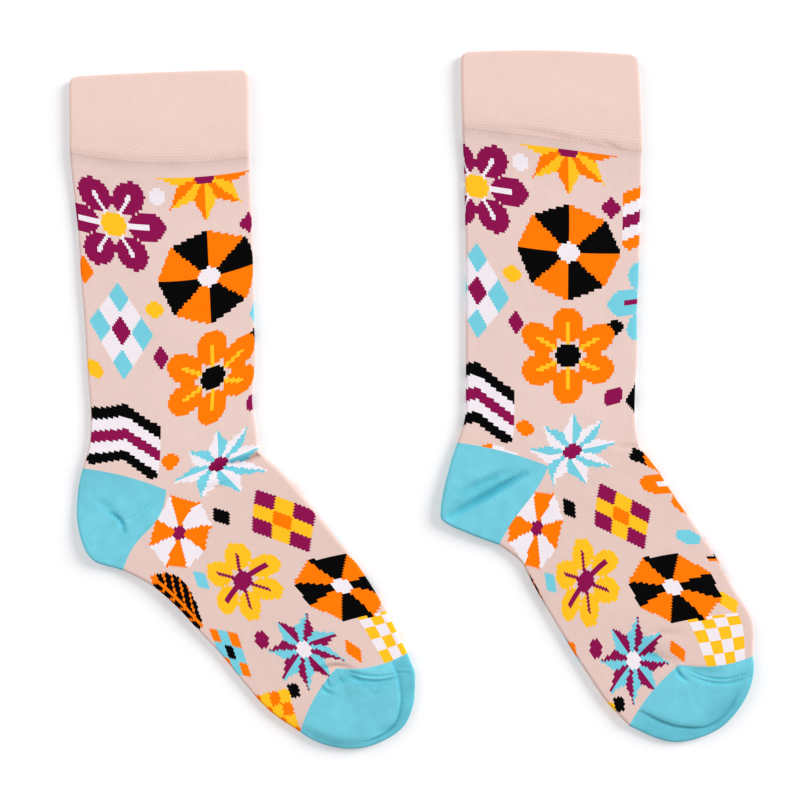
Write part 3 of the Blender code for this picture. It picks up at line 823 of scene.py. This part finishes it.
def knit(bm, sections, unroll, colour_at):
    """Grid of stitches through the sections, one row of faces between each two of them.

    unroll gives the place of a stitch's corner on the chart, and colour_at a stitch's colour.
    """
    chart = bm.loops.layers.uv["chart"]
    yarn = bm.faces.layers.float_color["yarn"]
    rows = len(sections) - 1
    columns = len(sections[0]) - 1
    made = bmesh.ops.create_grid(bm, x_segments=columns, y_segments=rows, size=1.0)
    corner = {}
    faces = set()
    for vert in made["verts"]:
        corner[vert] = (round((vert.co.x + 1) / 2 * columns), round((vert.co.y + 1) / 2 * rows))
        faces.update(vert.link_faces)
    for face in faces:
        column = min(corner[vert][0] for vert in face.verts)
        row = min(corner[vert][1] for vert in face.verts)
        near = sections[row][column]
        far = sections[row + 1][column + 1]
        # each face takes its yarn's colour with the painted shade of its corners
        face[yarn] = shaded(colour_at(column, row), (near.sunk + far.sunk) / 2,
                            (near.dim + far.dim) / 2)
        for loop in face.loops:
            loop[chart].uv = unroll(*corner[loop.vert], column, row)
    for vert, (column, row) in corner.items():
        vert.co = Vector(sections[row][column][:3]) * MM


def shaded(colour, sunk, dim):
    """The colour of a stitch in painted shade, so deep in a fold and so dim, with its alpha."""
    power = 1 + DEEPENING * min(sunk / DEEP_FOLD, 1.0)
    return [channel ** power * (1 - dim) for channel in colour] + [1.0]


def new_knit():
    """Empty sheet with the layers that stitches need."""
    bm = bmesh.new()
    bm.loops.layers.uv.new("chart")
    bm.faces.layers.float_color.new("yarn")
    return bm


def new_object(bm, name, material):
    """Object of the mesh, in the scene."""
    mesh = bpy.data.meshes.new(name)
    bm.to_mesh(mesh)
    bm.free()
    mesh.materials.append(material)
    made = bpy.data.objects.new(name, mesh)
    bpy.context.scene.collection.objects.link(made)
    return made


def finished(bm, name, material):
    """The sheet as a piece, its seams merged."""
    bmesh.ops.remove_doubles(bm, verts=bm.verts, dist=WELD)
    bmesh.ops.dissolve_degenerate(bm, edges=bm.edges, dist=WELD)
    piece = new_object(bm, name, material)
    piece.data.shade_smooth()
    return piece


def build_cuff(sock, material):
    """Turned cuff: up inside the mouth, over the rim, down outside and onto the leg."""
    traces = traced(sock.creases)
    courses = refined(sock.cuff, course_spacing)
    inside = courses[round(CUFF_INSIDE / STITCH_HEIGHT):RIM_ROWS:-1]
    sections = [course_section(course, CUFF_WALL, traces) for course in inside]
    for step in range(RIM_COURSES):
        angle = pi * step / RIM_COURSES
        depth = CUFF_WALL * (1 + cos(angle)) / 2
        course = shifted(courses[0], RIM_BULGE * (1 - sin(angle)))
        # the rim's courses take painted shade
        sections.append([corner._replace(sunk=RIM_PAINTED_SHADE)
                         for corner in course_section(course, depth, traces)])
    outside = courses[RIM_ROWS:]
    for index, course in enumerate(outside):
        share = max(0.0, 1 - (len(outside) - 1 - index) / SINK_COURSES)
        sunk = SINK_DEPTH * share * share * (3 - 2 * share)
        sections.append(course_section(course, sunk, traces))
    for step in range(1, TUCK_COURSES + 1):
        course = shifted(courses[-1], STITCH_HEIGHT * step)
        sunk = SINK_DEPTH + TUCK_DROP * step / TUCK_COURSES
        sections.append(course_section(course, sunk, traces))
    run = run_along([section[0] for section in sections])

    def unroll(column, row, *face):
        return column, (run[-1] - run[row]) / STITCH_HEIGHT

    bm = new_knit()
    knit(bm, sections, unroll, lambda *face: YARNS["cuff pink"])
    return finished(bm, f"{sock.side}_cuff", material)


def build_tube(sock, material):
    """Tube of the leg and foot, in one with its pattern."""
    traces = traced(sock.creases)
    leg = refined(sock.leg, course_spacing)
    foot = refined(sock.foot, course_spacing)
    sections = []
    for step in range(HIDDEN_COURSES, 0, -1):
        course = shifted(leg[0], -STITCH_HEIGHT * step)
        depth = GROOVE_DEPTH + HIDDEN_DROP * step
        sections.append(course_section(course, depth, traces))
    for index, course in enumerate(leg):
        groove = GROOVE_DEPTH * exp(-(index / GROOVE_COURSES) ** 2)
        sections.append(course_section(course, groove, traces))
    bm = new_knit()

    def charted(first_course):
        def colour_at(column, row):
            wale = (HALF_UPPER + ROUND_EDGE // 2 - column + sock.first_wale) % ROUND
            return charted_colour(wale, first_course + row + sock.first_course)

        def unroll(column, row, *face):
            return column, first_course + row

        return unroll, colour_at

    knit(bm, sections, *charted(-HIDDEN_COURSES))
    sections = [course_section(course, 0.0, traces) for course in foot]
    knit(bm, sections, *charted(len(leg) - 1))
    return finished(bm, f"{sock.side}_leg_and_foot", material)


def run_along(points):
    """Distance of each point from the first, along them all."""
    run = [0.0]
    for start, end in zip(points, points[1:]):
        run.append(run[-1] + (Vector(end[:3]) - Vector(start[:3])).length)
    return run


def build_pocket(name, sock, rays, before, after, mid_of, roll, gore, material):
    """Heel or toe pocket, its first and last ray on the tube's own courses.

    gore is the azimuth at which its wales turn, and in a heel that of its row of small holes.
    roll is the width of the round by which a toe's upper layer comes down, and 0 in a heel.
    """
    traces = traced(sock.creases)
    mid = Vector((mid_of.mid_x, mid_of.mid_y))
    fan = refined(rays, ray_spacing)
    sections = [ray_section(ray, mid, mid_of.crown, traces, roll) for ray in fan]
    sections[0] = before
    sections[-1] = after
    runs = [run_along(section) for section in sections]
    turn = next(index for index, ray in enumerate(fan) if ray.azimuth > gore)

    def unroll(column, row, face_column, face_row):
        azimuth = radians(fan[row].azimuth)
        knitted = radians(rays[0].azimuth if face_row < turn else rays[-1].azimuth)
        run = runs[row][column]
        return (run * cos(azimuth - knitted) / STITCH_WIDTH,
                run * sin(azimuth - knitted) / STITCH_HEIGHT)

    def colour_at(column, row):
        dashed = row == turn and column % 2 == 0 and column < GORE_STITCHES
        return YARNS["gore turquoise" if dashed and not roll else "turquoise"]

    bm = new_knit()
    knit(bm, sections, unroll, colour_at)
    return finished(bm, f"{sock.side}_{name}", material)


def build_heel(sock, material):
    traces = traced(sock.creases)
    before = course_halves(sock.leg[-1], 0.0, traces)[0]
    after = course_halves(sock.foot[0], 0.0, traces)[0]
    return build_pocket("heel", sock, sock.heel, before, after, sock.leg[-1], 0.0, sock.gore,
                        material)


def build_toe(sock, material):
    traces = traced(sock.creases)
    before, after = course_halves(sock.foot[-1], 0.0, traces)
    gore = (sock.toe[0].azimuth + sock.toe[-1].azimuth) / 2
    return build_pocket("toe", sock, sock.toe, before, after, sock.foot[-1], sock.roll, gore,
                        material)


# Materials

def feed(tree, node, values):
    """Give the node its inputs: a node's output is linked, and anything else is set.

    An input goes by its name, or as in0, in1 and so on by its number.
    """
    for name, value in values.items():
        socket = node.inputs[int(name[2:])] if name.startswith("in") else node.inputs[name]
        if isinstance(value, bpy.types.NodeSocket):
            tree.links.new(value, socket)
        else:
            socket.default_value = value


def wired(tree, kind, operation=None, **values):
    """New node with its inputs."""
    node = tree.nodes.new(kind)
    if operation:
        node.operation = operation
    feed(tree, node, values)
    return node


def maths(tree, operation, first, second=0.0, third=0.0):
    """Output of a new Math node."""
    node = wired(tree, "ShaderNodeMath", operation, in0=first, in1=second, in2=third)
    return node.outputs[0]


def new_group(name, *numbers):
    """New group that takes the chart and the numbers, and gives a relief and a shade.

    With it come maths for its nodes, its inputs, and the place on the chart as two numbers.
    """
    group = bpy.data.node_groups.new(name, "ShaderNodeTree")
    group.interface.new_socket("Chart", in_out="INPUT", socket_type="NodeSocketVector")
    for number in numbers:
        group.interface.new_socket(number, in_out="INPUT", socket_type="NodeSocketFloat")
    for result in ("Relief", "Shade"):
        group.interface.new_socket(result, in_out="OUTPUT", socket_type="NodeSocketFloat")
    given = group.nodes.new("NodeGroupInput").outputs
    place = wired(group, "ShaderNodeSeparateXYZ", Vector=given["Chart"])
    return group, partial(maths, group), given, place.outputs["X"], place.outputs["Y"]


def closed_group(group, relief, shade):
    """The group with its results linked."""
    wired(group, "NodeGroupOutput", Relief=relief, Shade=shade)
    return group


def stitch_tint(group, chart):
    """Shade that differs a little from stitch to stitch."""
    whole = wired(group, "ShaderNodeVectorMath", "FLOOR", in0=chart)
    random = wired(group, "ShaderNodeTexWhiteNoise", Vector=whole.outputs["Vector"])
    return maths(group, "MULTIPLY_ADD", random.outputs["Value"], STITCH_TINT, 1 - STITCH_TINT / 2)


def half_raised(calc, wave):
    """The wave from -1 to 1 as one from 0 to 1."""
    return calc("MULTIPLY_ADD", wave, 0.5, 0.5)


def stitch_group():
    """Plain knit: each stitch is a V of two strands, in cloth of a given unevenness."""
    group, calc, given, x, y = new_group("plain knit stitches", "Unevenness")
    aside = calc("ABSOLUTE", calc("SUBTRACT", calc("FRACT", x), 0.5))
    turned = calc("MULTIPLY", aside, 2 * pi)
    ridge = calc("MULTIPLY", calc("COSINE", turned), WALE_RIDGE)
    strand = calc("ADD", calc("SINE", turned), ridge)
    slanted = calc("ADD", y, calc("MULTIPLY", aside, STITCH_SLANT))
    along = calc("FRACT", slanted)
    loop = calc("SINE", calc("MULTIPLY", along, pi))
    height = calc("MULTIPLY_ADD", loop, STRAND_FALL, 1 - STRAND_FALL)
    relief = calc("MULTIPLY_ADD", height, strand, STRAND_BASE)
    soft = wired(group, "ShaderNodeTexNoise", Vector=given["Chart"], Scale=PATCH_SCALE,
                 Detail=PATCH_DETAIL)
    off = calc("SUBTRACT", soft.outputs["Fac"], 0.5)
    patchy = calc("MULTIPLY_ADD", off, given["Unevenness"], 1.0)
    # painted shade in the pits between the strands
    pits = calc("MULTIPLY_ADD", relief, PIT_SHADE, 1 - PIT_SHADE)
    tint = calc("MULTIPLY", stitch_tint(group, given["Chart"]), patchy)
    return closed_group(group, relief, calc("MULTIPLY", tint, pits))


def mesh_group():
    """Elastic cuff knit: a close mesh of raised stitches, every other one set half a step on."""
    group, calc, given, x, y = new_group("elastic mesh stitches")
    across = calc("SINE", calc("MULTIPLY", x, pi))
    along = calc("SINE", calc("MULTIPLY", y, pi))
    relief = half_raised(calc, calc("MULTIPLY", across, along))
    # painted shade in the holes of the mesh
    pits = calc("MULTIPLY_ADD", relief, MESH_SHADE, 1 - MESH_SHADE)
    shade = calc("MULTIPLY", stitch_tint(group, given["Chart"]), pits)
    return closed_group(group, relief, shade)


def elastic_group():
    """Rows of elastic above the cuff's end: dashes, every other row set half a step on."""
    group, calc, _, x, y = new_group("elastic rows")
    row = calc("DIVIDE", y, ELASTIC_PITCH / STITCH_HEIGHT)
    above = calc("SUBTRACT", 1.0, calc("DIVIDE", row, ELASTIC_ROWS))
    near = wired(group, "ShaderNodeClamp", Value=above)
    dip = calc("SINE", calc("MULTIPLY", calc("FRACT", row), pi))
    step = calc("ADD", x, calc("FLOOR", row))
    wave = calc("SINE", calc("MULTIPLY", step, pi))
    dash = calc("MULTIPLY_ADD", wave, DASH_CHANGE, 1 - DASH_CHANGE)
    sunk = calc("MULTIPLY", calc("MULTIPLY", dip, dash), near.outputs[0])
    # painted shade in the dips between the rows
    shade = calc("MULTIPLY_ADD", sunk, -ELASTIC_SHADE, 1.0)
    return closed_group(group, calc("MULTIPLY", sunk, -1.0), shade)


def gather_group():
    """Ribs, one for each wale, with painted shade in their gaps and in a band where the elastic
    ends.
    """
    group, calc, given, x, y = new_group("gathered band", "Band", "Reach")
    passed = calc("DIVIDE", y, GATHER_COURSES)
    near = wired(group, "ShaderNodeClamp", Value=calc("SUBTRACT", 1.0, passed))
    row = wired(group, "ShaderNodeVectorMath", "MULTIPLY", in0=given["Chart"], in1=(1.0, 0.0, 0.0))
    patches = wired(group, "ShaderNodeTexNoise", Vector=row.outputs["Vector"],
                    Scale=GATHER_PATCH_SCALE)
    uneven = calc("MULTIPLY_ADD", patches.outputs["Fac"], GATHER_CHANGE, GATHER_LEAST)
    wave = calc("COSINE", calc("MULTIPLY", x, 2 * pi))
    gap = calc("MULTIPLY", half_raised(calc, wave), calc("MULTIPLY", near.outputs[0], uneven))
    off = calc("DIVIDE", y, given["Reach"])
    squared = calc("MULTIPLY", off, off)
    fall = calc("EXPONENT", calc("MULTIPLY", squared, -1.0))
    loss = calc("MULTIPLY", fall, given["Band"])
    band = calc("SUBTRACT", 1.0, calc("MULTIPLY", loss, uneven))
    ribbed = calc("MULTIPLY_ADD", gap, -RIB_SHADE, 1.0)
    shade = calc("MULTIPLY", ribbed, band)
    return closed_group(group, calc("MULTIPLY", gap, -1.0), shade)


def knit_material(name, groups, relief_height, **values):
    """Yarn of each stitch's own colour and painted shade, shaded and raised by the groups' stitches.

    values go to the groups' inputs of these names.
    """
    material = bpy.data.materials.new(name)
    material.use_nodes = True
    tree = material.node_tree
    shader = tree.nodes["Principled BSDF"]
    chart = tree.nodes.new("ShaderNodeUVMap")
    chart.uv_map = "chart"
    yarn = tree.nodes.new("ShaderNodeAttribute")
    yarn.attribute_name = "yarn"
    colour = yarn.outputs["Color"]
    relief = 0.0
    for group in groups:
        stitches = tree.nodes.new("ShaderNodeGroup")
        stitches.node_tree = group
        tree.links.new(chart.outputs["UV"], stitches.inputs["Chart"])
        for socket in stitches.inputs:
            if socket.name in values:
                socket.default_value = values[socket.name]
        shaded = wired(tree, "ShaderNodeVectorMath", "SCALE", in0=colour,
                       Scale=stitches.outputs["Shade"])
        colour = shaded.outputs["Vector"]
        relief = maths(tree, "ADD", stitches.outputs["Relief"], relief)
    bump = wired(tree, "ShaderNodeBump", Height=relief, Strength=1.0, Distance=relief_height * MM)
    feed(tree, shader, {
        "Base Color": colour,
        "Normal": bump.outputs["Normal"],
        "Roughness": YARN_ROUGHNESS,
        "Specular IOR Level": YARN_SPECULAR,
    })
    return material


# Stage

def build_floor():
    bm = bmesh.new()
    bmesh.ops.create_grid(bm, x_segments=1, y_segments=1, size=FLOOR_HALF)
    bmesh.ops.translate(bm, verts=bm.verts, vec=(0.0, 0.0, FLOOR_DROP))
    material = bpy.data.materials.new("white paper")
    material.use_nodes = True
    tree = material.node_tree
    feed(tree, tree.nodes["Principled BSDF"], {
        "Base Color": (*FLOOR_COLOUR, 1.0),
        "Roughness": FLOOR_ROUGHNESS,
        "Specular IOR Level": 0.0,
        "Emission Color": (1.0, 1.0, 1.0, 1.0),
        "Emission Strength": FLOOR_GLOW,
    })
    floor = new_object(bm, "table_top", material)


def build_lamp(lamp):
    light = bpy.data.lights.new(lamp.name, "SUN")
    light.energy = lamp.strength
    light.angle = radians(lamp.spread)
    holder = bpy.data.objects.new(lamp.name, light)
    holder.rotation_euler = (0.0, radians(90.0 - lamp.elevation), radians(lamp.azimuth))
    bpy.context.scene.collection.objects.link(holder)


def build_camera():
    """Camera straight above."""
    camera = bpy.data.cameras.new("camera above")
    camera.sensor_width = SENSOR_WIDTH
    camera.lens = CAMERA_LENS
    holder = bpy.data.objects.new("camera above", camera)
    holder.location = (CAMERA_X, 0.0, VIEW_WIDTH * CAMERA_LENS / SENSOR_WIDTH)
    bpy.context.scene.collection.objects.link(holder)
    bpy.context.scene.camera = holder


def build_studio():
    build_floor()
    for lamp in LAMPS:
        build_lamp(lamp)
    world = bpy.data.worlds.new("studio air")
    world.use_nodes = True
    air = {"Color": (*AIR_COLOUR, 1.0), "Strength": AIR_STRENGTH}
    feed(world.node_tree, world.node_tree.nodes["Background"], air)
    bpy.context.scene.world = world
    view = bpy.context.scene.view_settings
    view.view_transform = "Standard"
    view.look = "None"
    view.exposure = 0.0
    build_camera()


def main():
    stitches = stitch_group()
    gathers = gather_group()
    cuff_knit = knit_material("pink elastic cuff knit", (mesh_group(), elastic_group(), gathers),
                              CUFF_RELIEF, Band=CUFF_BAND[0], Reach=CUFF_BAND[1])
    body_knit = knit_material("patterned body knit", (stitches, gathers), BODY_RELIEF,
                              Unevenness=BODY_UNEVENNESS, Band=LEG_BAND[0], Reach=LEG_BAND[1])
    pocket_knit = knit_material("turquoise pocket knit", (stitches,), POCKET_RELIEF,
                                Unevenness=POCKET_UNEVENNESS)
    # Node, maker, material and its slot, and the sheet's flat size and area in metres
    makers = (
        ("cuff", build_cuff, cuff_knit, "cuff_knit", (0.190, 0.063), None),
        ("tube", build_tube, body_knit, "body_knit", (0.184, 0.300), 0.053),
        ("heel", build_heel, pocket_knit, "pocket_knit", (0.098, 0.066), 0.0036),
        ("toe", build_toe, pocket_knit, "pocket_knit", (0.088, 0.098), 0.0047),
    )
    for sock in SOCKS:
        for node, build, material, slot, flat, area in makers:
            piece = build(sock, material)
            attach(piece, "root")
            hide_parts(f"{node}_{sock.side}")
    build_studio()


main()
